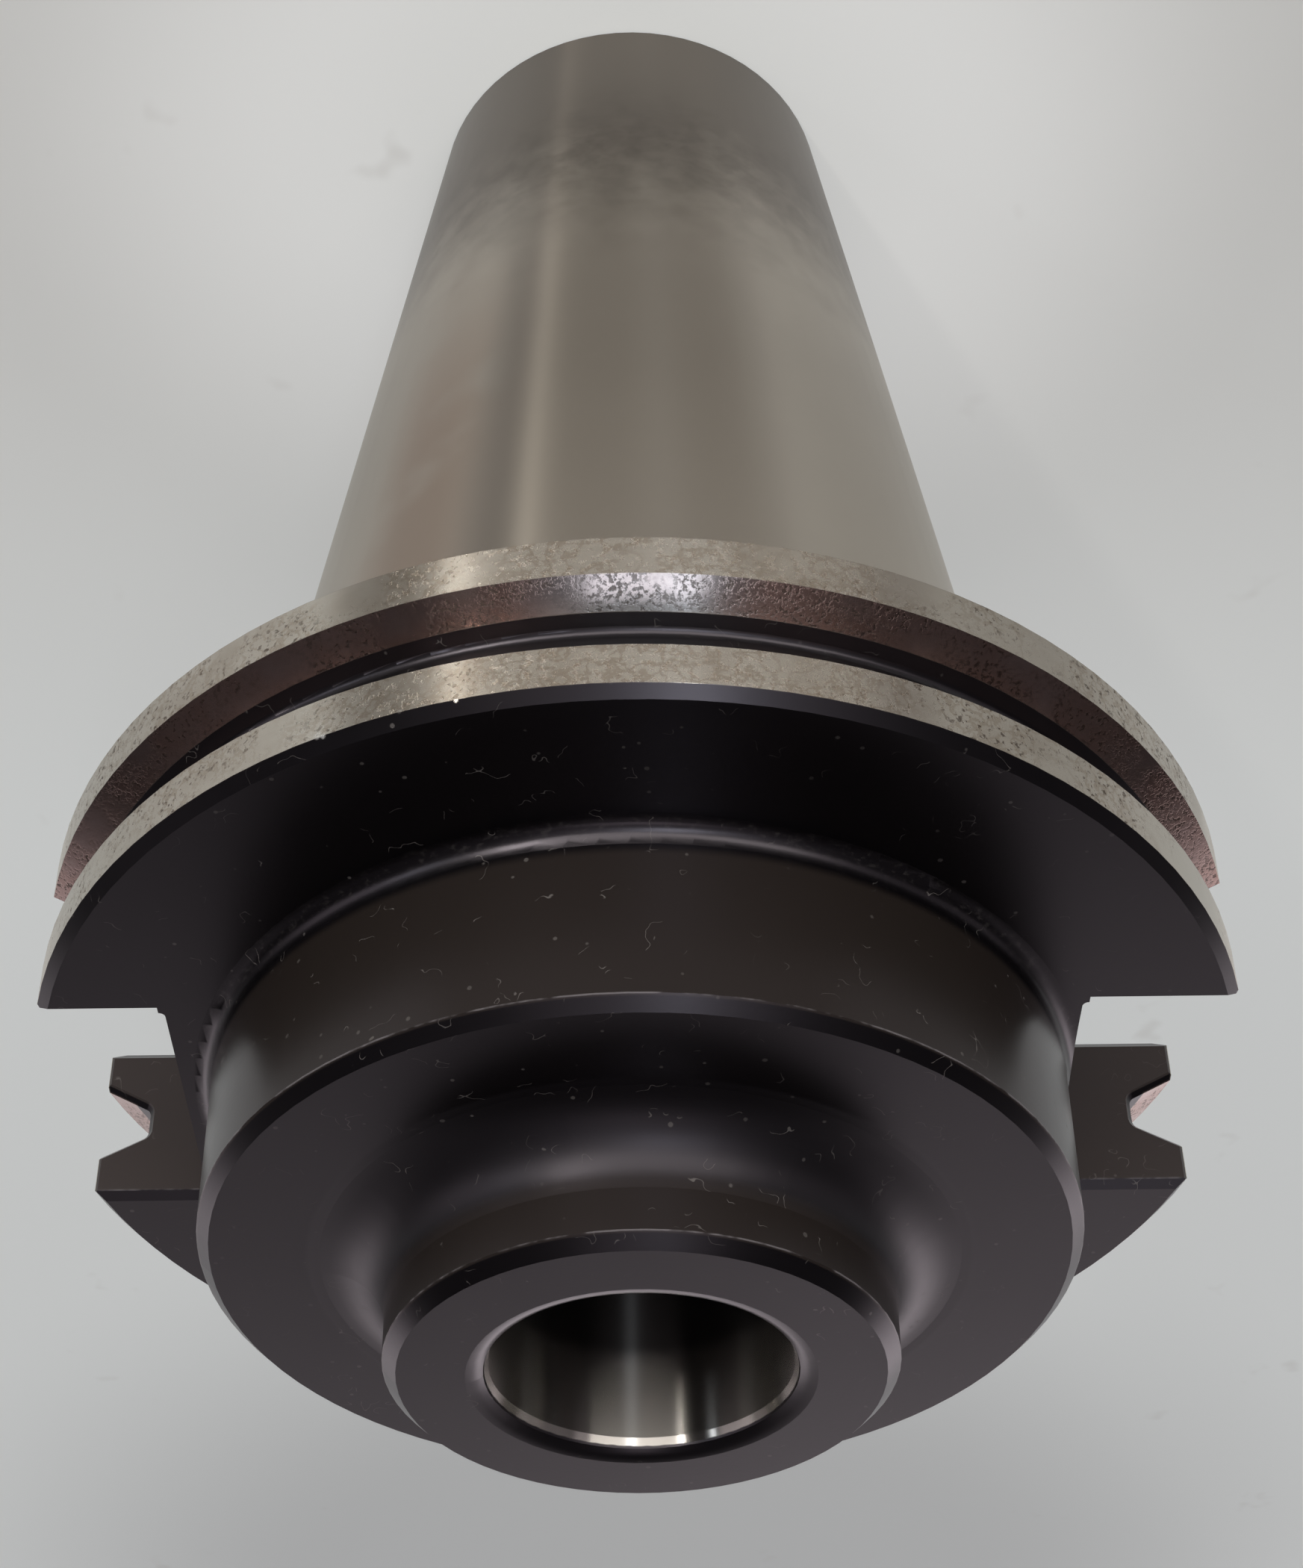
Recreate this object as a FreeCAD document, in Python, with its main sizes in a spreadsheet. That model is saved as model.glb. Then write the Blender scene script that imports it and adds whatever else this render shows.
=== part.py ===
import FreeCAD, Part
import math
import os

import Sketcher

# Morse taper adapter holder: one turned and ground steel body. It stands on the small end of its
# steep taper with the nose up. The origin is the centre of that end face and +Z is the spindle axis.
# The flange, the front body and the nose follow each other from the gauge line, which is the large
# end of the steep taper.

os.makedirs("parts", exist_ok=True)

SIZES = {
    # steep taper of the spindle shank, 7 in 24 on the diameter
    "gauge_d": 69.85,
    "shank_length": 101.6,
    "shank_rise": 7.0,
    "shank_run": 24.0,
    "shank_end_break": 0.2,
    # relief between the ground taper and the flange
    "relief_depth": 0.725,
    "relief_round": 0.6,
    # flange, and the gripper groove around the middle of its width
    "flange_d": 98.425,
    "flange_gap": 3.175,
    "flange_width": 15.875,
    "flange_rear_break": 0.85,
    "flange_front_break": 0.83,
    "groove_depth": 3.75,
    "groove_mouth": 7.0,
    "groove_angle": 60.0,
    "groove_round": 0.8,
    # drive slots: the one on the +X side is the shallower of the two
    "slot_width": 26.4,
    "slot_bottom_plus": 37.25,
    "slot_bottom_minus": 35.05,
    "slot_corner": 0.5,
    "slot_front_break": 0.7,
    "slot_rear_break": 1.1,
    "slot_rim_break": 0.36,
    "slot_groove_break": 0.6,
    # front body and nose
    "body_d": 69.85,
    "body_length": 15.95,
    "body_break": 1.0,
    "body_fillet": 1.5,
    "nose_d": 40.0,
    "nose_length": 10.0,
    "nose_break": 1.1,
    "nose_fillet": 5.3,
    # taper socket for a size 3 tanged shank, with a bright ring and a rounded lip at its mouth
    "lip_width": 1.38,
    "lip_depth": 0.58,
    "ring_width": 0.31,
    "ring_depth": 0.8,
    "socket_d": 23.825,
    "socket_ratio": 19.922,
    "socket_depth": 78.0,
    "tang_slot_width": 8.3,
    "tang_slot_span": 19.8,
    # pull stud seat in the small end: chamfer, pilot bore, thread and drill point
    "thread_d": 25.4,
    "thread_pitch": 3.175,
    "thread_depth": 44.45,
    "pilot_clearance": 0.4,
    "pilot_depth": 6.35,
    "pilot_break": 1.0,
    "drill_past_thread": 2.55,
    "drill_point_angle": 118.0,
}

# how far a cut runs past the surface that it opens
OVERRUN = 2.0

# how closely two places have to agree to be taken as one
NEAR = 0.001


class Size:
    """A dimension: its number, and the formula that gives it from the sheet's cells."""

    def __init__(self, value, formula):
        self.value = value
        self.formula = formula

    def joined(self, sign, other, value):
        return Size(value, "({} {} {})".format(self.formula, sign, as_size(other).formula))

    def __add__(self, other):
        return self.joined("+", other, self.value + as_size(other).value)

    def __sub__(self, other):
        return self.joined("-", other, self.value - as_size(other).value)

    def __mul__(self, other):
        return self.joined("*", other, self.value * as_size(other).value)

    def __truediv__(self, other):
        return self.joined("/", other, self.value / as_size(other).value)

    def __neg__(self):
        return Size(-self.value, "(0 - {})".format(self.formula))


def as_size(number):
    return number if isinstance(number, Size) else Size(float(number), repr(number))


def function_of(name, size, value):
    return Size(value, "{}({})".format(name, size.formula))


def tangent(angle):
    return function_of("tan", angle, math.tan(math.radians(angle.value)))


def sine(angle):
    return function_of("sin", angle, math.sin(math.radians(angle.value)))


def cosine(angle):
    return function_of("cos", angle, math.cos(math.radians(angle.value)))


def root(size):
    return function_of("sqrt", size, math.sqrt(size.value))


class Dimensions:
    """The driving dimensions by name, each bound to its own cell of the sheet, and the heights of
    the faces that follow from them."""

    def rear_face(self):
        return self.shank_length + self.flange_gap

    def front_face(self):
        return self.rear_face() + self.flange_width

    def body_face(self):
        return self.front_face() + self.body_length

    def nose_face(self):
        return self.body_face() + self.nose_length


def make_sheet(doc):
    sheet = doc.addObject("Spreadsheet::Sheet", "Sizes")
    dimensions = Dimensions()
    for row, (name, number) in enumerate(SIZES.items(), start=1):
        sheet.set("A{}".format(row), name)
        sheet.set("B{}".format(row), str(number))
        sheet.setAlias("B{}".format(row), name)
        setattr(dimensions, name, Size(float(number), "Sizes.{}".format(name)))
    doc.recompute()
    return dimensions


def origin_feature(body, role):
    return [feature for feature in body.Origin.OriginFeatures if feature.Role == role][0]


def arc_between(start, end, radius, clockwise):
    """The short arc of a given radius between two points of a sketch."""
    chord = end - start
    middle = (start + end) * 0.5
    rise = math.sqrt(max(radius * radius - chord.Length * chord.Length / 4, 0))
    side = FreeCAD.Vector(chord.y, -chord.x, 0).normalize() * (1 if clockwise else -1)
    centre = middle + side * rise
    circle = Part.Circle(centre, FreeCAD.Vector(0, 0, 1), radius)
    first, last = (end, start) if clockwise else (start, end)
    return Part.ArcOfCircle(circle, circle.parameter(first), circle.parameter(last))


def fix_point(sketch, geometry, position, name, axis, size):
    """Holds one coordinate of a corner at its size, or on the axis where it is nought."""
    if not isinstance(size, Size):
        line_through_origin = {"X": -2, "Y": -1}[axis]
        sketch.addConstraint(
            Sketcher.Constraint("PointOnObject", geometry, position, line_through_origin)
        )
        return
    index = sketch.addConstraint(
        Sketcher.Constraint("Distance" + axis, -1, 1, geometry, position, size.value)
    )
    sketch.renameConstraint(index, name)
    sketch.setExpression("Constraints." + name, size.formula)


def outline(body, name, role, corners, arcs=None, offset=None):
    """A closed outline on one of the body's origin planes.

    corners are (x, y) sizes, with 0 for a point on an axis. arcs maps the number of the corner where
    a side starts to that side's radius and whether it runs clockwise; the other sides are straight.
    """
    arcs = arcs or {}
    sketch = body.newObject("Sketcher::SketchObject", name)
    sketch.AttachmentSupport = [(origin_feature(body, role), "")]
    sketch.MapMode = "FlatFace"
    if offset is not None:
        sketch.AttachmentOffset = FreeCAD.Placement(
            FreeCAD.Vector(0, 0, offset.value), FreeCAD.Rotation()
        )
        sketch.setExpression("AttachmentOffset.Base.z", offset.formula)
    points = [FreeCAD.Vector(as_size(x).value, as_size(y).value, 0) for x, y in corners]
    count = len(points)
    starts = []
    for i, point in enumerate(points):
        following = points[(i + 1) % count]
        if i in arcs:
            radius, clockwise = arcs[i]
            sketch.addGeometry(arc_between(point, following, radius.value, clockwise), False)
            starts.append(2 if clockwise else 1)
        else:
            sketch.addGeometry(Part.LineSegment(point, following), False)
            starts.append(1)
    for i in range(count):
        following = (i + 1) % count
        sketch.addConstraint(
            Sketcher.Constraint("Coincident", i, 3 - starts[i], following, starts[following])
        )
    for i, (x, y) in enumerate(corners):
        fix_point(sketch, i, starts[i], "across{}".format(i), "X", x)
        fix_point(sketch, i, starts[i], "along{}".format(i), "Y", y)
    for i, (radius, _clockwise) in arcs.items():
        index = sketch.addConstraint(Sketcher.Constraint("Radius", i, radius.value))
        sketch.renameConstraint(index, "radius{}".format(i))
        sketch.setExpression("Constraints.radius{}".format(i), radius.formula)
    return sketch


def turned(body, kind, name, sketch):
    """Turns an outline right round the spindle axis, as added or as cut away material."""
    feature = body.newObject("PartDesign::" + kind, name)
    feature.Profile = sketch
    feature.ReferenceAxis = (sketch, ["V_Axis"])
    feature.Angle = 360.0
    return feature


def milled(body, name, sketch, length, reverse):
    """Cuts an outline away over a length, against the sketch's normal unless reversed."""
    feature = body.newObject("PartDesign::Pocket", name)
    feature.Profile = sketch
    feature.Type = 0
    feature.Length = length.value
    feature.setExpression("Length", length.formula)
    feature.Reversed = reverse
    return feature


def blank(body, size):
    """The outside of the body: steep taper, relief, flange, front body and nose."""
    gauge = size.shank_length
    gauge_r = size.gauge_d / 2
    end_r = gauge_r - gauge * size.shank_rise / size.shank_run / 2
    broken_r = end_r + size.shank_end_break * size.shank_rise / size.shank_run / 2
    relief_r = gauge_r - size.relief_depth
    flange_r = size.flange_d / 2
    rear = size.rear_face()
    front = size.front_face()
    body_r = size.body_d / 2
    body_front = size.body_face()
    nose_r = size.nose_d / 2
    nose_front = size.nose_face()
    corners = [
        (0, 0),
        (end_r - size.shank_end_break, 0),
        (broken_r, size.shank_end_break),
        (gauge_r, gauge),
        (relief_r, gauge + size.relief_depth),
        (relief_r, rear - size.relief_round),
        (relief_r + size.relief_round, rear),
        (flange_r - size.flange_rear_break, rear),
        (flange_r, rear + size.flange_rear_break),
        (flange_r, front - size.flange_front_break),
        (flange_r - size.flange_front_break, front),
        (body_r + size.body_fillet, front),
        (body_r, front + size.body_fillet),
        (body_r, body_front - size.body_break),
        (body_r - size.body_break, body_front),
        (nose_r + size.nose_fillet, body_front),
        (nose_r, body_front + size.nose_fillet),
        (nose_r, nose_front - size.nose_break),
        (nose_r - size.nose_break, nose_front),
        (0, nose_front),
    ]
    arcs = {
        5: (size.relief_round, True),
        11: (size.body_fillet, True),
        15: (size.nose_fillet, True),
    }
    sketch = outline(body, "blank_outline", "XZ_Plane", corners, arcs)
    return turned(body, "Revolution", "blank", sketch)


def gripper_groove(body, size):
    """The V groove around the flange, with rounded corners at its narrow floor."""
    centre = size.rear_face() + size.flange_width / 2
    flank = size.groove_angle / 2
    flange_r = size.flange_d / 2
    floor_r = flange_r - size.groove_depth
    half_mouth = size.groove_mouth / 2
    half_floor = half_mouth - size.groove_depth * tangent(flank)
    # a corner of the floor turns by 90 degrees less the flank's slope from the radius
    tangent_length = size.groove_round * tangent((as_size(90) - flank) / 2)
    floor_half = half_floor - tangent_length
    flank_r = floor_r + tangent_length * cosine(flank)
    flank_half = half_floor + tangent_length * sine(flank)
    outer_r = flange_r + OVERRUN
    outer_half = half_mouth + tangent(flank) * OVERRUN
    corners = [
        (outer_r, centre - outer_half),
        (outer_r, centre + outer_half),
        (flank_r, centre + flank_half),
        (floor_r, centre + floor_half),
        (floor_r, centre - floor_half),
        (flank_r, centre - flank_half),
    ]
    arcs = {2: (size.groove_round, False), 4: (size.groove_round, False)}
    sketch = outline(body, "gripper_groove_outline", "XZ_Plane", corners, arcs)
    return turned(body, "Groove", "gripper_groove", sketch)


def taper_socket(body, size):
    """The ground taper bore with its rounded lip and the narrow bright ring at its mouth."""
    face = size.nose_face()
    run = size.lip_width
    lip_round = (run * run + size.lip_depth * size.lip_depth) / (size.lip_depth * 2)
    mouth_depth = size.lip_depth + size.ring_depth
    mouth_r = size.socket_d / 2 - mouth_depth / size.socket_ratio / 2
    ring_r = size.socket_d / 2 + size.ring_width
    lip_r = ring_r + size.lip_width
    bottom_r = size.socket_d / 2 - size.socket_depth / size.socket_ratio / 2
    corners = [
        (0, face + OVERRUN),
        (0, face - size.socket_depth),
        (bottom_r, face - size.socket_depth),
        (mouth_r, face - mouth_depth),
        (ring_r, face - size.lip_depth),
        (lip_r, face),
        (lip_r, face + OVERRUN),
    ]
    arcs = {4: (lip_round, True)}
    sketch = outline(body, "taper_socket_outline", "XZ_Plane", corners, arcs)
    return turned(body, "Groove", "taper_socket", sketch)


def pull_stud_seat(body, size):
    """The pilot bore, the threaded bore at its full diameter and the tapping drill's point."""
    thread_r = size.thread_d / 2
    pilot_r = thread_r + size.pilot_clearance
    drill_r = (size.thread_d - size.thread_pitch) / 2
    drill_depth = size.thread_depth + size.drill_past_thread
    point = drill_r / tangent(size.drill_point_angle / 2)
    corners = [
        (0, -as_size(OVERRUN)),
        (pilot_r + size.pilot_break, -as_size(OVERRUN)),
        (pilot_r + size.pilot_break, 0),
        (pilot_r, size.pilot_break),
        (pilot_r, size.pilot_depth),
        (thread_r, size.pilot_depth),
        (thread_r, size.thread_depth),
        (drill_r, size.thread_depth + (thread_r - drill_r)),
        (drill_r, drill_depth),
        (0, drill_depth + point),
    ]
    sketch = outline(body, "pull_stud_seat_outline", "XZ_Plane", corners)
    return turned(body, "Groove", "pull_stud_seat", sketch)


def tang_slot(body, size):
    """The slot that drives the tang, broached from the threaded bore up to the socket."""
    half = size.tang_slot_width / 2
    span_r = size.tang_slot_span / 2
    reach = root(span_r * span_r - half * half)
    corners = [(-reach, -half), (reach, -half), (reach, half), (-reach, half)]
    arcs = {1: (span_r, False), 3: (span_r, False)}
    top = size.nose_face() - size.socket_depth
    sketch = outline(body, "tang_slot_outline", "XY_Plane", corners, arcs)
    return milled(body, "tang_slot", sketch, top + OVERRUN, True)


def drive_slot(body, size, name, bottom, toward_plus):
    """One drive slot through the flange, with straight walls."""
    half = size.slot_width / 2
    corner = size.slot_corner
    reach = size.flange_d / 2 + OVERRUN
    top = size.front_face() + size.body_fillet

    def mirrored(x):
        return x if toward_plus else -x

    corners = [
        (mirrored(bottom), -(half - corner)),
        (mirrored(bottom + corner), -half),
        (mirrored(reach), -half),
        (mirrored(reach), half),
        (mirrored(bottom + corner), half),
        (mirrored(bottom), half - corner),
    ]
    arcs = {0: (corner, not toward_plus), 4: (corner, not toward_plus)}
    sketch = outline(body, name + "_outline", "XY_Plane", corners, arcs, offset=top)
    return milled(body, name, sketch, top - size.rear_face() + OVERRUN, False)


def notch_edges(body, size):
    """Breaks the edges where the gripper groove runs out into the slots' walls."""
    slotted = body.Tip
    wall = size.slot_width.value / 2
    floor_r = size.flange_d.value / 2 - size.groove_depth.value
    centre = size.rear_face().value + size.flange_width.value / 2
    half_mouth = size.groove_mouth.value / 2
    names = []
    for number, edge in enumerate(slotted.Shape.Edges, start=1):
        ends = [vertex.Point for vertex in edge.Vertexes]
        on_wall = all(abs(abs(end.y) - wall) < NEAR for end in ends)
        in_groove = all(abs(end.z - centre) < half_mouth + NEAR for end in ends)
        past_floor = all(math.hypot(end.x, end.y) > floor_r - NEAR for end in ends)
        rises = abs(ends[0].z - ends[-1].z) > NEAR
        if on_wall and in_groove and past_floor and rises:
            names.append("Edge{}".format(number))
    feature = body.newObject("PartDesign::Chamfer", "slot_groove_edges")
    feature.Base = (slotted, names)
    feature.Size = size.slot_groove_break.value
    feature.setExpression("Size", size.slot_groove_break.formula)
    return feature


def slot_edges(body, size, name, bottom, toward_plus):
    """The broken edges of one slot's walls: along the flange's rim, then its front and rear faces."""
    half = size.slot_width / 2
    flange_r = size.flange_d / 2
    edge = root(flange_r * flange_r - half * half) - size.slot_rim_break
    reach = flange_r + OVERRUN
    flare = half + (reach - edge)
    rear = size.rear_face()
    front = size.front_face()

    def mirrored(x):
        return x if toward_plus else -x

    corners = [
        (mirrored(edge), -half),
        (mirrored(reach), -flare),
        (mirrored(reach), flare),
        (mirrored(edge), half),
    ]
    sketch = outline(body, name + "_rim_outline", "XY_Plane", corners, offset=front + OVERRUN)
    rim = milled(body, name + "_rim", sketch, size.flange_width + OVERRUN * 2, False)

    front_break = size.slot_front_break
    rear_break = size.slot_rear_break
    corners = [
        (-(half + front_break + OVERRUN), front + OVERRUN),
        (-half, front - front_break),
        (-half, rear + rear_break),
        (-(half + rear_break + OVERRUN), rear - OVERRUN),
        (half + rear_break + OVERRUN, rear - OVERRUN),
        (half, rear + rear_break),
        (half, front - front_break),
        (half + front_break + OVERRUN, front + OVERRUN),
    ]
    start = bottom + size.slot_corner
    sketch = outline(body, name + "_face_outline", "YZ_Plane", corners, offset=mirrored(start))
    faces = milled(body, name + "_faces", sketch, reach - start, toward_plus)
    return [rim, faces]


def check(doc, body, cuts):
    """Stops if anything failed to build, or if a cut took nothing away."""
    for item in doc.Objects:
        if "Invalid" in item.State or "Error" in item.State:
            raise RuntimeError("{} failed: {}".format(item.Label, item.State))
    if body.Shape.isNull() or not body.Shape.isValid() or len(body.Shape.Solids) != 1:
        raise RuntimeError("{} is not one valid solid".format(body.Label))
    before = body.Group[1].Shape.Volume
    for cut in cuts:
        after = cut.Shape.Volume
        if not after < before:
            raise RuntimeError("{} cut nothing away".format(cut.Label))
        before = after


doc = FreeCAD.newDocument("adapter_holder")
size = make_sheet(doc)

adapter = doc.addObject("PartDesign::Body", "adapter_body")
adapter.Label = "adapter_body"
adapter.Placement = FreeCAD.Placement()
doc.recompute()

blank(adapter, size)
cuts = [
    gripper_groove(adapter, size),
    taper_socket(adapter, size),
    pull_stud_seat(adapter, size),
    tang_slot(adapter, size),
    drive_slot(adapter, size, "drive_slot_plus", size.slot_bottom_plus, True),
    drive_slot(adapter, size, "drive_slot_minus", size.slot_bottom_minus, False),
]
adapter.Tip = cuts[-1]
doc.recompute()
cuts.append(notch_edges(adapter, size))
cuts += slot_edges(adapter, size, "drive_slot_plus", size.slot_bottom_plus, True)
cuts += slot_edges(adapter, size, "drive_slot_minus", size.slot_bottom_minus, False)
adapter.Tip = cuts[-1]
doc.recompute()
check(doc, adapter, cuts)

adapter.Shape.exportStep("parts/{}.step".format(adapter.Label))
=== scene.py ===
import math

import bmesh
import bpy
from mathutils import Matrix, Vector


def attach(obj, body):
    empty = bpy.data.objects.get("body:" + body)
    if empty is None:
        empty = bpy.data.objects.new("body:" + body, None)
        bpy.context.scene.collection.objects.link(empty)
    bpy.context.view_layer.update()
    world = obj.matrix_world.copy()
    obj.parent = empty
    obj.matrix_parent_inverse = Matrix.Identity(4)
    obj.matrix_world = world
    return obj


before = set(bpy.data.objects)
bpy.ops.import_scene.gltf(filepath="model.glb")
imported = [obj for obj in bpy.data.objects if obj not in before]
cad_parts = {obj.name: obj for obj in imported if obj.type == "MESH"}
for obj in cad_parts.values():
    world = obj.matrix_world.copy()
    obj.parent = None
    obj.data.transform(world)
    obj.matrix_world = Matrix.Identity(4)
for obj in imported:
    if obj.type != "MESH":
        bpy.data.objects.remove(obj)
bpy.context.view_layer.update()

# ---------------------------------------------------------------------------------------------
# The adapter body: one bar of hardened steel. Shank taper, flange rims, groove flanks and socket
# are ground bright; every other face keeps the satin black oxide that the bar was dipped in.
# ---------------------------------------------------------------------------------------------

# heights along the spindle axis and radii from it, in metres; a pair is where a soft step runs
edge = 0.00003
shank_foot = 0.0002
gauge_height = 0.1016
flange_radius = 0.0492125
rear_rim = (0.105625, 0.1092125)
front_rim = (0.1162125, 0.11982)
groove_centre = 0.1127125
groove_flank = (0.0021, 0.0035)
groove_flank_radius = flange_radius - (groove_flank[1] - groove_flank[0]) * math.sqrt(3.0)
flange_front = (0.1222, 0.1232)
body_radius = 0.034925
body_edge = 0.1356
nose_radius = 0.02
nose_fillet = (0.0201, 0.0262)
nose_wall = (0.14, 0.142)
nose_edge = 0.1455
socket_foot = 0.0686
socket_ring = (0.14522, 0.14578)
socket_radius = 0.0124
# where the painted shade deep in the socket begins
bore_shade_heights = (0.1372, 0.1392)
clear_of_bores = (0.0162, 0.0164)
slot_half_width = 0.0132
slot_bottom = (0.0345, 0.0355)
slot_span = (0.1048, 0.11995)
on_surface = (0.0001, 0.0002)


class Wire:
    """A number, vector or colour on its way between nodes. Arithmetic on it adds Math nodes."""

    def __init__(self, finish, socket):
        self.finish = finish
        self.socket = socket

    def maths(self, operation, first, second=0.0):
        return self.finish.node("Math", {"operation": operation}, {0: first, 1: second})

    def __add__(self, other):
        return self.maths("ADD", self, other)

    def __radd__(self, other):
        return self.maths("ADD", other, self)

    def __sub__(self, other):
        return self.maths("SUBTRACT", self, other)

    def __rsub__(self, other):
        return self.maths("SUBTRACT", other, self)

    def __mul__(self, other):
        return self.maths("MULTIPLY", self, other)

    def __rmul__(self, other):
        return self.maths("MULTIPLY", other, self)

    def __truediv__(self, other):
        return self.maths("DIVIDE", self, other)

    def __rtruediv__(self, other):
        return self.maths("DIVIDE", other, self)

    def __pow__(self, other):
        return self.maths("POWER", self, other)

    def __abs__(self):
        return self.maths("ABSOLUTE", self)

    def __neg__(self):
        return self.maths("MULTIPLY", self, -1.0)


class Finish:
    """The nodes of a material or of the world. A node is given its type, its settings and its
    inputs."""

    def __init__(self, owner, coordinates="Object"):
        owner.use_nodes = True
        self.owner = owner
        self.tree = owner.node_tree
        self.tree.nodes.clear()
        self.place = self.node("TexCoord", output=coordinates)
        split = self.tree.nodes.new("ShaderNodeSeparateXYZ")
        self.tree.links.new(self.place.socket, split.inputs[0])
        self.x, self.y, self.z = (Wire(self, axis) for axis in split.outputs)
        # the bearing round the axis, from the camera's side towards +X
        self.bearing = self.node("Math", {"operation": "ARCTAN2"}, {0: self.x, 1: -self.y})

    def node(self, kind, settings=None, inputs=None, output=0):
        made = self.tree.nodes.new("ShaderNode" + kind)
        for name, value in (settings or {}).items():
            setattr(made, name, value)
        for name, value in (inputs or {}).items():
            if isinstance(value, Wire):
                self.tree.links.new(value.socket, made.inputs[name])
            else:
                made.inputs[name].default_value = value
        return Wire(self, made.outputs[output]) if made.outputs else None

    def mix(self, amount, low, high):
        """From the low colour to the high one as amount goes from 0 to 1."""
        sockets = {0: amount, 6: opaque(low), 7: opaque(high)}
        return self.node("Mix", {"data_type": "RGBA"}, sockets, 2)

    def layered(self, base, layers):
        """The base with each layer's colour mixed over it by that layer's amount."""
        for amount, colour in layers:
            base = self.mix(amount, base, colour)
        return base

    def ramp(self, value, low, high, bottom=0.0, top=1.0):
        """A smooth step from bottom to top as the value passes from low to high."""
        sockets = {0: value, 1: low, 2: high, 3: bottom, 4: top}
        return self.node("MapRange", {"interpolation_type": "SMOOTHSTEP"}, sockets)

    def band(self, value, low, high, soft):
        """1 between low and high, falling to 0 over the soft width at either end."""
        inside = self.ramp(value, low - soft, low + soft)
        return inside * self.ramp(value, high - soft, high + soft, 1, 0)

    def near(self, point, reach):
        """1 at a point, falling to 0 at the reach from it."""
        gap = self.node("VectorMath", {"operation": "DISTANCE"}, {0: self.place, 1: point}, "Value")
        return self.ramp(gap, reach * 0.4, reach, 1, 0)

    def stretched(self, across, around, along):
        """The place scaled differently across x, y and along the axis, for a drawn-out pattern."""
        return self.node("Mapping", None, {"Vector": self.place, "Scale": (across, around, along)})

    def noise(self, scale, detail=3.0, rough=0.5, place=None):
        sockets = {"Vector": place or self.place, "Scale": scale, "Detail": detail, "Roughness": rough}
        return self.node("TexNoise", None, sockets)

    def turning(self, spacing, detail, rough):
        """Marks that run round the axis, drifting slowly with the bearing: 0 to 1."""
        radius = (self.x * self.x + self.y * self.y) ** 0.5
        round_axis = {0: self.x / radius * 0.4, 1: self.y / radius * 0.4, 2: radius * 900.0}
        sockets = {
            "Vector": self.node("CombineXYZ", None, round_axis),
            "W": self.z * 900.0,
            "Scale": spacing,
            "Detail": detail,
            "Roughness": rough,
        }
        return self.node("TexNoise", {"noise_dimensions": "4D"}, sockets)

    def surface(self, shader):
        self.node("OutputMaterial", None, {"Surface": shader})


def opaque(colour):
    return (*colour, 1.0) if isinstance(colour, tuple) and len(colour) == 3 else colour


steel = Finish(bpy.data.materials.new("holder_steel"))
height = steel.z
radius = (steel.x * steel.x + steel.y * steel.y) ** 0.5
fine_marks = steel.turning(5.0, 4.0, 0.7)
broad_marks = steel.turning(0.8, 3.0, 0.6)

# which faces were ground after the blackening
outside = steel.ramp(radius, *clear_of_bores)
shank = outside * steel.band(height, shank_foot, gauge_height, edge)
on_rim = steel.ramp(radius, flange_radius - 0.00012, flange_radius - 0.00004)
rims = on_rim * (steel.band(height, *rear_rim, edge) + steel.band(height, *front_rim, edge))
off_centre = abs(height - groove_centre)
flank_line = groove_flank_radius + (off_centre - groove_flank[0]) * math.sqrt(3.0)
on_flank = steel.ramp(abs(radius - flank_line), 0.00012, 0.0002, 1, 0)
flanks = on_flank * steel.band(off_centre, *groove_flank, edge)
in_bore = steel.ramp(radius, socket_radius - 0.0003, socket_radius - 0.00025, 1, 0)
socket = in_bore * steel.ramp(height, socket_foot, socket_foot + edge)
ring = steel.band(height, *socket_ring, edge) * steel.ramp(radius, 0.01225, 0.0123, 1, 0)

# ground steel, shared patterns
cloud = steel.noise(60.0, 3.0, 0.5)
mottle = steel.noise(240.0, 3.0, 0.5)
grain = steel.noise(1500.0, 3.0, 0.65, steel.stretched(1.0, 1.0, 2.2))

# the taper is a warm grey with painted reflections: lighter towards the flange, and a brown band
# and a darker band on one side; at its foot it is darker, partly a stain and partly painted shade
# painted shade, mottled and partly a stain: darker towards the foot, where it stands on the table
foot_stain_and_shade = steel.ramp(height + mottle * 0.016, 0.024, 0.054, 1, 0)
foot_spots = steel.band(height, 0.017, 0.03, 0.009)
foot_spots = foot_spots * steel.ramp(steel.noise(420.0, 3.0, 0.6), 0.42, 0.66)
# painted reflections: a brown band and a darker band at fixed bearings, on the side towards +X
brown_reflection_band = steel.band(steel.bearing, 0.42, 0.78, 0.14) * steel.ramp(height, 0.03, 0.07)
dark_reflection_band = steel.band(steel.bearing, 0.31, 0.44, 0.06) * steel.ramp(height, 0.02, 0.06)
taper_steel = steel.layered(
    steel.mix(cloud, (0.43, 0.39, 0.335), (0.51, 0.465, 0.4)),
    [
        # painted reflection: lighter towards the flange
        (steel.ramp(height, 0.05, 0.1), (0.6, 0.55, 0.475)),
        (foot_stain_and_shade * 0.9, (0.15, 0.128, 0.108)),
        (foot_spots * 0.3, (0.1, 0.085, 0.07)),
        (brown_reflection_band * steel.ramp(cloud, 0.25, 0.55) * 0.8, (0.36, 0.27, 0.21)),
        (dark_reflection_band * 0.35, (0.26, 0.225, 0.2)),
    ],
)

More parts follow.
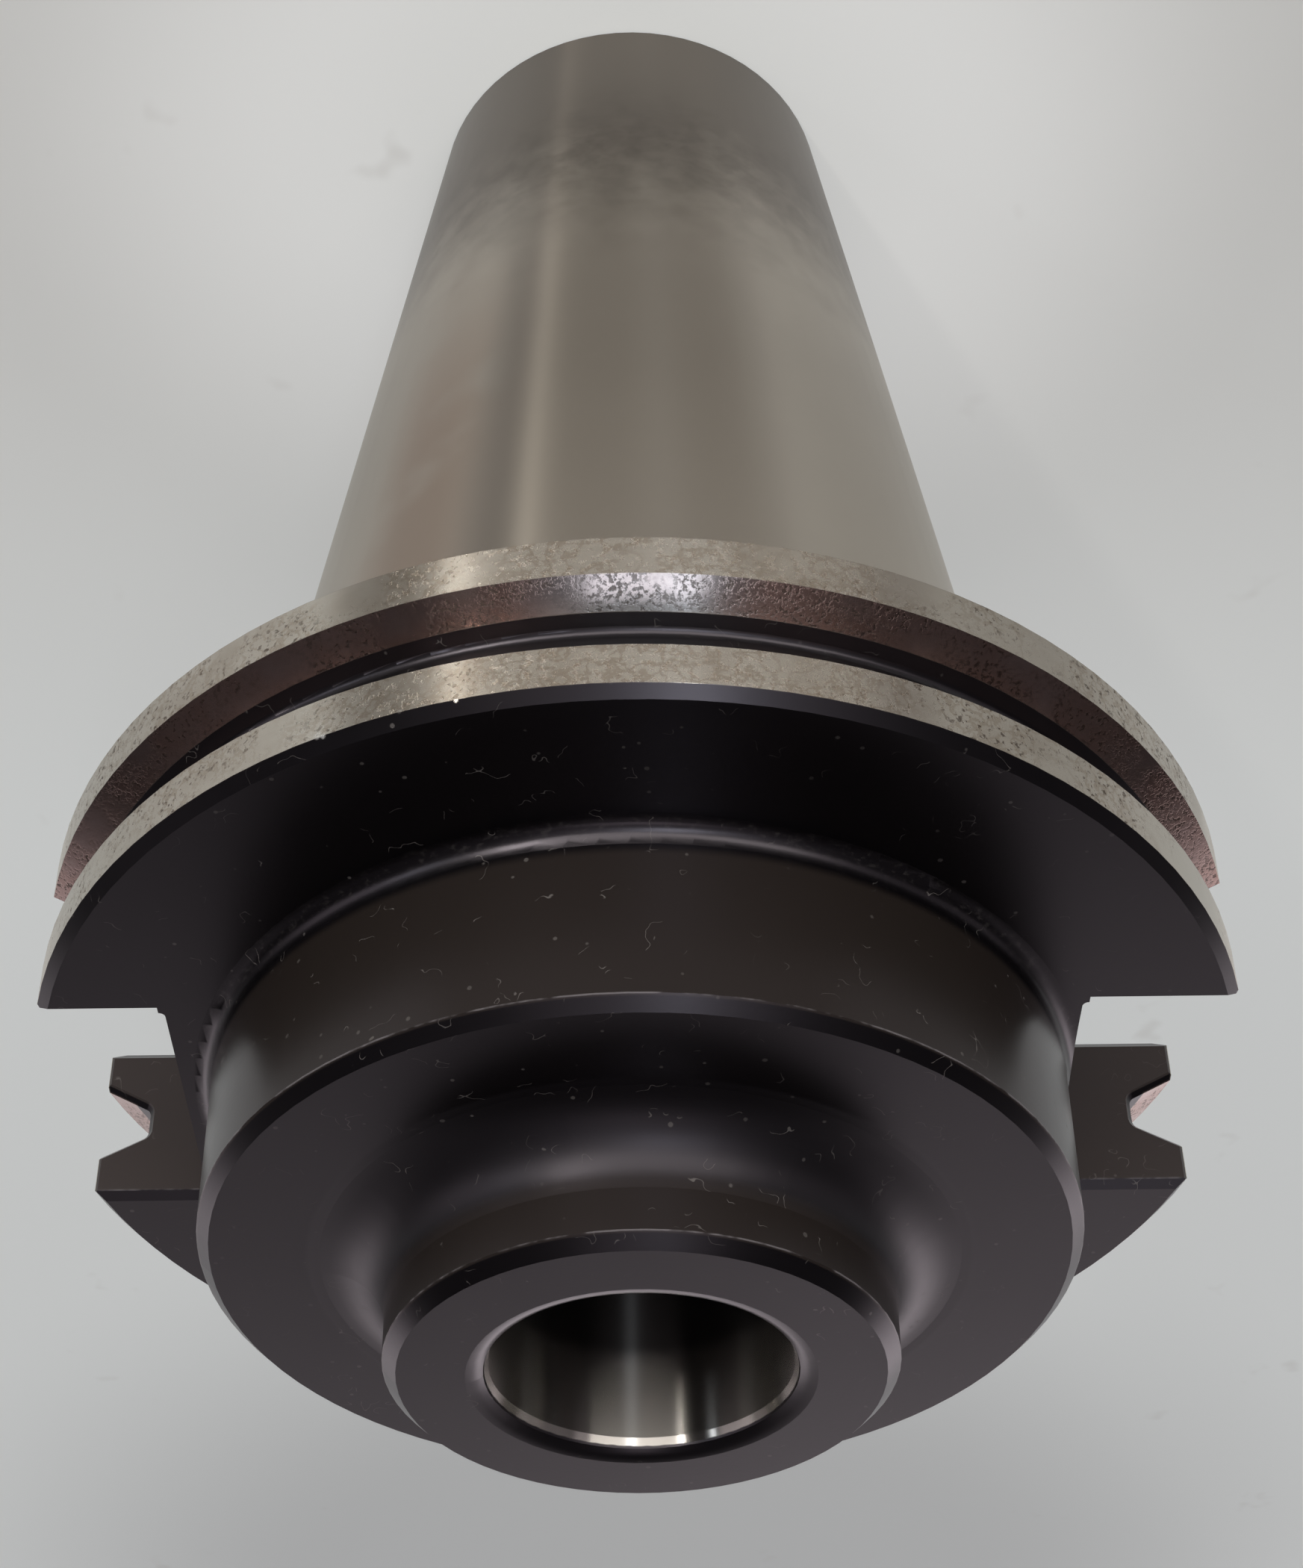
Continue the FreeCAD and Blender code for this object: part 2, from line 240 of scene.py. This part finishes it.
# the flange rims carry small pits and brown swirls of old rust, mostly on the side that is seen
rusty = steel.ramp(steel.noise(70.0, 3.0, 0.6) - abs(steel.bearing + 0.1) * 0.12, 0.33, 0.52)
pits = steel.ramp(steel.noise(1900.0, 3.0, 0.7), 0.55, 0.66) * rusty
swirls = steel.ramp(abs(steel.noise(700.0, 3.0, 0.6) - 0.5), 0.012, 0.06, 1, 0) * rusty
rim_steel = steel.layered(
    steel.mix(fine_marks, (0.6, 0.56, 0.49), (0.7, 0.655, 0.58)),
    [
        (swirls * 0.42, (0.33, 0.25, 0.17)),
        (steel.ramp(mottle * 0.5 + cloud * 0.5, 0.5, 0.66) * 0.4, (0.42, 0.36, 0.29)),
        (pits * 0.7, (0.15, 0.115, 0.085)),
    ],
)

# the groove's flanks are pitted all round, and brown, partly rust and partly a painted reflection
# of the dark room, but for a patch on the near side where the lamp's glint falls
flank_rust_and_reflection = steel.ramp(abs(steel.bearing + 0.02) + cloud * 0.2, 0.15, 0.32)
flank_pits = steel.ramp(steel.noise(2800.0, 3.0, 0.7), 0.48, 0.62) * steel.ramp(mottle, 0.34, 0.55)
flank_steel = steel.layered(
    steel.mix(grain, (0.42, 0.43, 0.44), (0.62, 0.63, 0.64)),
    [
        (flank_rust_and_reflection * (0.5 + 0.5 * mottle), (0.34, 0.21, 0.17)),
        (flank_pits * 0.75, (0.07, 0.055, 0.045)),
    ],
)

# nicks along the front rim and the nose, where the steel was knocked bright
nicks = [
    ((0.02208, -0.04398, 0.11961), 0.0004),
    ((0.0217, -0.0442, 0.11985), 0.0003),
    ((0.01615, -0.04649, 0.11975), 0.00024),
    ((0.01217, -0.04768, 0.1199), 0.00024),
    ((0.01025, 0.00757, 0.1466), 0.0002),
]
nicked = sum(steel.near(point, reach) for point, reach in nicks)
bright = steel.layered(
    taper_steel,
    [
        (rims, rim_steel),
        (ring, (0.13, 0.122, 0.115)),
        (flanks, flank_steel),
        (nicked * 0.8, (0.8, 0.77, 0.72)),
    ],
)
bright_rough = 0.22 + fine_marks * 0.03 + rims * (0.02 + pits * 0.2)
bright_rough = bright_rough - flanks * (0.06 - flank_pits * 0.1)
bright_relief = fine_marks - pits * rims * 3.0 - flank_pits * flanks * 3.0
# marks that run round the axis stretch the highlights along it
turned_metal = {"Metallic": 1.0, "Anisotropic": 1.0, "Anisotropic Rotation": 0.25}
bump = {"Strength": 0.3, "Distance": 0.00001, "Height": bright_relief}
ground = steel.node(
    "BsdfPrincipled",
    None,
    {
        **turned_metal,
        "Base Color": bright,
        "Roughness": bright_rough,
        "Normal": steel.node("Bump", None, bump),
    },
)

# the socket is lapped smooth, and painted darker below its mouth: painted shade deep in the bore
unshaded_mouth = steel.ramp(height + cloud * 0.001, *bore_shade_heights)
socket_steel = steel.mix(unshaded_mouth, (0.17, 0.165, 0.16), (0.48, 0.46, 0.43))
lapped = steel.node(
    "BsdfPrincipled", None, {**turned_metal, "Base Color": socket_steel, "Roughness": 0.25}
)

# black oxide: satin, near black on the faces and browner on the turned walls
bloom = steel.noise(90.0, 4.0, 0.6)
on_body = steel.ramp(abs(radius - body_radius), *on_surface, 1, 0)
on_nose = steel.ramp(abs(radius - nose_radius), *on_surface, 1, 0)
walls = on_body * steel.ramp(height, *flange_front) + on_nose * steel.ramp(height, *nose_wall)
in_slot = steel.ramp(radius, *slot_bottom) * steel.band(height, *slot_span, edge)
slot_walls = in_slot * steel.ramp(abs(abs(steel.y) - slot_half_width), *on_surface, 1, 0)

# thin light lines along the sharp edges, partly worn through to grey and partly painted edge highlight
body_line, nose_line = (
    steel.band(height, line - 0.00006, line + 0.00005, edge) for line in (body_edge, nose_edge)
)
slot_line = steel.band(height, 0.11985, 0.12, edge) * steel.ramp(radius, 0.036, 0.0365)
slot_line = slot_line * steel.band(abs(steel.y), slot_half_width, 0.0135, 0.0001)
worn_edge_and_highlight = (body_line + nose_line) * outside + slot_line
worn_edge_and_highlight = worn_edge_and_highlight * steel.ramp(steel.noise(300.0, 3.0, 0.7), 0.4, 0.6)

# dust caught on the oxide: specks, short fibres and a dusty arc in the corner under the body
dusty = steel.ramp(steel.noise(55.0, 3.0, 0.6), 0.4, 0.62)
cells = {"Vector": steel.place, "Scale": 420.0, "Randomness": 1.0}
speck_size = steel.noise(700.0, 1.0) * 0.1
speck_gap = steel.node("TexVoronoi", None, cells, "Distance") - speck_size
specks = steel.ramp(speck_gap, 0.0, 0.04, 1, 0)
strands = abs(steel.noise(330.0, 2.0, 0.6) - 0.5)
fibres = steel.ramp(strands, 0.002, 0.0055, 1, 0) * steel.ramp(steel.noise(430.0, 1.0), 0.61, 0.65)
corner = steel.band(radius, 0.0352, 0.0362, 0.0006) * steel.band(height, 0.12, 0.1225, 0.0005)
lint = (specks * 0.7 + fibres) * (0.25 + 0.75 * dusty)
lint = lint + corner * steel.ramp(grain, 0.5, 0.75) * 0.2
black = steel.layered(
    steel.mix(bloom, (0.0004, 0.0003, 0.0005), (0.0012, 0.001, 0.0013)),
    [
        (walls, (0.016, 0.0125, 0.0105)),
        (slot_walls, (0.04, 0.033, 0.03)),
        # worn edges and painted edge highlights
        (worn_edge_and_highlight * 0.8, (0.16, 0.15, 0.155)),
        (lint * 0.6, (0.15, 0.14, 0.13)),
    ],
)

# the fillet at the nose's root was left coarser by the form tool
in_fillet = steel.band(radius, *nose_fillet, 0.0003) * steel.ramp(height, 0.13, 0.132)
black_rough = 0.25 + bloom * 0.06 + fine_marks * 0.04 + lint * 0.2 + in_fillet * 0.14
black_relief = broad_marks + steel.noise(4000.0, 2.0)
bump = {"Strength": 0.25, "Distance": 0.00001, "Height": black_relief}
oxide = steel.node(
    "BsdfPrincipled",
    None,
    {
        "Base Color": black,
        "Roughness": black_rough,
        "Specular Tint": (0.98, 0.9, 1.0, 1.0),
        "Normal": steel.node("Bump", None, bump),
    },
)
is_ground = shank + rims + flanks + ring + nicked
faces = steel.node("MixShader", None, {0: is_ground, 1: oxide, 2: ground})
faces = steel.node("MixShader", None, {0: socket, 1: faces, 2: lapped})
steel.surface(faces)
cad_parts["adapter_body"].material_slots[0].material = steel.owner

# ---------------------------------------------------------------------------------------------
# The pull stud's thread in the small end: 1 inch, 8 turns to the inch, right-handed, tapped into
# the bore. The bore's wall is at the thread's full diameter, so this is the metal left between.
# ---------------------------------------------------------------------------------------------
thread_pitch = 0.003175
thread_wall = 0.01275
thread_crest = 0.0111125
thread_foot_half = 0.00139
thread_crest_half = 0.00047
thread_start = 0.00815
thread_turns = 11
thread_steps = 48
thread_runout = 0.4

mesh = bmesh.new()
section = [
    (thread_wall, -thread_foot_half),
    (thread_crest, -thread_crest_half),
    (thread_crest, thread_crest_half),
    (thread_wall, thread_foot_half),
]
corners = [mesh.verts.new((r, 0.0, thread_start + along)) for r, along in section]
profile = mesh.faces.new(corners)
bmesh.ops.spin(
    mesh,
    geom=[profile, *profile.edges, *profile.verts],
    cent=(0.0, 0.0, 0.0),
    axis=(0.0, 0.0, 1.0),
    dvec=(0.0, 0.0, thread_pitch / thread_steps),
    angle=math.tau * thread_turns,
    steps=thread_steps * thread_turns,
)
for vert in mesh.verts:
    part_turn = math.atan2(vert.co.y, vert.co.x) / math.tau
    turn = part_turn + round((vert.co.z - thread_start) / thread_pitch - part_turn)
    fade = min(1.0, max(0.02, min(turn, thread_turns - turn) / thread_runout))
    reach = math.hypot(vert.co.x, vert.co.y)
    wanted = thread_wall - (thread_wall - reach) * fade
    vert.co.x *= wanted / reach
    vert.co.y *= wanted / reach
bmesh.ops.recalc_face_normals(mesh, faces=mesh.faces)
crests = bpy.data.meshes.new("pull_stud_thread")
mesh.to_mesh(crests)
mesh.free()
pull_stud_thread = bpy.data.objects.new("pull_stud_thread", crests)
bpy.context.collection.objects.link(pull_stud_thread)
pull_stud_thread.data.materials.append(steel.owner)
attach(pull_stud_thread, "root")

# ---------------------------------------------------------------------------------------------
# The table: a pale painted board, a little soiled, with painted shade over its front, at its front
# left and behind the part, and painted light round the part's foot and further back. It is only
# the ground for the picture, so camera and glossy rays see some of its colour without shading.
# ---------------------------------------------------------------------------------------------
table_half = 3.0
unshaded = 0.35
mesh = bmesh.new()
bmesh.ops.create_grid(mesh, x_segments=1, y_segments=1, size=table_half)
board = bpy.data.meshes.new("table")
mesh.to_mesh(board)
mesh.free()
table = bpy.data.objects.new("table", board)
bpy.context.collection.objects.link(table)
paint = Finish(bpy.data.materials.new("table_paint"))
soil = paint.noise(14.0, 5.0, 0.6)
smudges = paint.ramp(paint.noise(55.0, 3.0, 0.6), 0.66, 0.76)
# painted shade over the table's front
shaded = paint.ramp(-paint.y - abs(paint.x) * 0.8, 0.004, 0.024)
shaded = shaded * paint.ramp(paint.y, -0.037, -0.027, 1, 0)
pale = paint.layered(
    paint.mix(soil, (0.66, 0.67, 0.645), (0.71, 0.725, 0.705)),
    [
        # painted light: lighter further back
        (paint.ramp(paint.y, -0.01, 0.12), (0.84, 0.88, 0.865)),
        # painted shadow behind the part
        (paint.near((0.0, 0.36, 0.0), 0.17), (0.6, 0.625, 0.62)),
        # painted light round the part's foot, against its shadow
        (paint.near((0.0, -0.005, 0.0), 0.075), (0.91, 0.93, 0.91)),
        # painted shade at the front left
        (paint.near((-0.15, -0.07, 0.0), 0.1) * 0.6, (0.25, 0.24, 0.22)),
        (smudges * 0.2, (0.42, 0.39, 0.35)),
        (shaded * 0.8, (0.18, 0.165, 0.15)),
    ],
)
dull = {"Base Color": pale, "Roughness": 0.6, "Specular IOR Level": 0.3}
painted = paint.node("BsdfPrincipled", None, dull)
backdrop = paint.node("Emission", None, {"Color": pale, "Strength": 1.0})
seen = paint.node("LightPath", output="Is Camera Ray")
seen = seen + paint.node("LightPath", output="Is Glossy Ray")
paint.surface(paint.node("MixShader", None, {0: seen * unshaded, 1: painted, 2: backdrop}))
table.data.materials.append(paint.owner)

# ---------------------------------------------------------------------------------------------
# Light: a dark room with pale walls behind, a lit panel overhead, a window with a bright edge and
# a long ceiling tube in front. Bearings are in degrees from the camera's side towards +X.
# ---------------------------------------------------------------------------------------------
bpy.context.scene.world = bpy.data.worlds.new("room")
room = Finish(bpy.context.scene.world, "Generated")
rise = room.node("Math", {"operation": "ARCSINE"}, {0: room.z})


def wall_patch(start, end, low, high, radiance):
    """A soft-edged lit part of the walls between two bearings and two rises."""
    start, end, low, high, soft = (math.radians(angle) for angle in (start, end, low, high, 3.0))
    return room.band(room.bearing, start, end, soft) * room.band(rise, low, high, soft) * radiance


behind = room.ramp(abs(room.bearing), math.radians(114), math.radians(132))
brighter_side = room.ramp(room.bearing, -0.4, 0.4, 1.5, 1.0)
low_wall = room.ramp(rise, math.radians(14), math.radians(23), 1.5, 0.36)
high_wall = room.ramp(rise, math.radians(34), math.radians(46), 1, 0)
wall_patches = [
    (57, 86, -9, 20, 1.0),
    (-50, -38, -9, 20, 0.9),
    (-100, -52, -9, 20, 0.3),
    (86, 100, -9, 20, 0.3),
    (-42, 31, 24, 64, 0.4),
]
walls_seen = behind * brighter_side * low_wall * high_wall
walls_seen = walls_seen + sum(wall_patch(*patch) for patch in wall_patches)
panel = room.band(room.x, -0.118, 0.084, 0.01) * room.band(-room.y, 0.1, 0.34, 0.03)
overhead = room.ramp(room.z, 0.5, 0.7) * (panel * 2.5 + 0.05)
brightness = walls_seen + overhead + 0.02
room_light = room.node(
    "Mix",
    {"data_type": "RGBA", "clamp_factor": False},
    {0: brightness, 6: (0.0, 0.0, 0.0, 1.0), 7: (1.0, 0.9, 0.94, 1.0)},
    2,
)
to_camera = room.node("LightPath", output="Is Camera Ray")
room_light = room.mix(to_camera, room_light, (0.64, 0.63, 0.62))
background = room.node("Background", None, {"Color": room_light, "Strength": 1.0})
room.node("OutputWorld", None, {"Surface": background})
nose = (0.0, 0.0, 0.14)
warm = (1.0, 0.96, 0.91)
cool = (0.87, 0.93, 1.0)


def soft_lamp(name, place, aim, size, radiance, colour):
    """A rectangular lamp at a place, turned towards another, whose face has that radiance."""
    light = bpy.data.lights.new(name, "AREA")
    light.shape = "RECTANGLE"
    light.size, light.size_y = size
    light.energy = math.pi * size[0] * size[1] * radiance
    light.color = colour
    lamp = bpy.data.objects.new(name, light)
    bpy.context.collection.objects.link(lamp)
    lamp.location = place
    lamp.visible_camera = False
    beam = Vector(aim) - Vector(place)
    lamp.rotation_euler = beam.to_track_quat("-Z", "Y").to_euler()


def aimed(bearing, rise, distance):
    """A place at a bearing, a rise and a distance from the nose."""
    flat = distance * math.cos(math.radians(rise))
    turn = math.radians(bearing)
    return (
        nose[0] + flat * math.sin(turn),
        nose[1] - flat * math.cos(turn),
        nose[2] + distance * math.sin(math.radians(rise)),
    )


soft_lamp("tube", (-0.2, -1.35, 1.14), (-0.2, -1.35, 0.0), (0.06, 0.9), 34.0, cool)
soft_lamp("window", aimed(-4.0, 10.0, 0.9), nose, (1.2, 0.36), 4.0, warm)
soft_lamp("lit_edge", aimed(28.0, 6.5, 0.85), nose, (0.014, 0.3), 120.0, warm)
soft_lamp("side_strip", aimed(52.0, 9.0, 0.85), nose, (0.06, 0.27), 6.0, cool)

# ---------------------------------------------------------------------------------------------
# The camera looks down over the nose, held upside down, so the shank is at the picture's top
# ---------------------------------------------------------------------------------------------
lens = bpy.data.cameras.new("camera")
lens.sensor_fit = "AUTO"
lens.sensor_width = 36.0
lens.lens = 62.7517
lens.shift_x = 0.006382
lens.shift_y = 0.141286
lens.clip_start = 0.01
lens.clip_end = 20.0
camera = bpy.data.objects.new("camera", lens)
bpy.context.collection.objects.link(camera)
camera.location = (-0.000803, -0.185328, 0.249618)
camera.rotation_euler = (math.radians(-53.1157), math.radians(-0.4609), math.radians(179.48916))
bpy.context.scene.camera = camera
bpy.context.scene.view_settings.view_transform = "Standard"
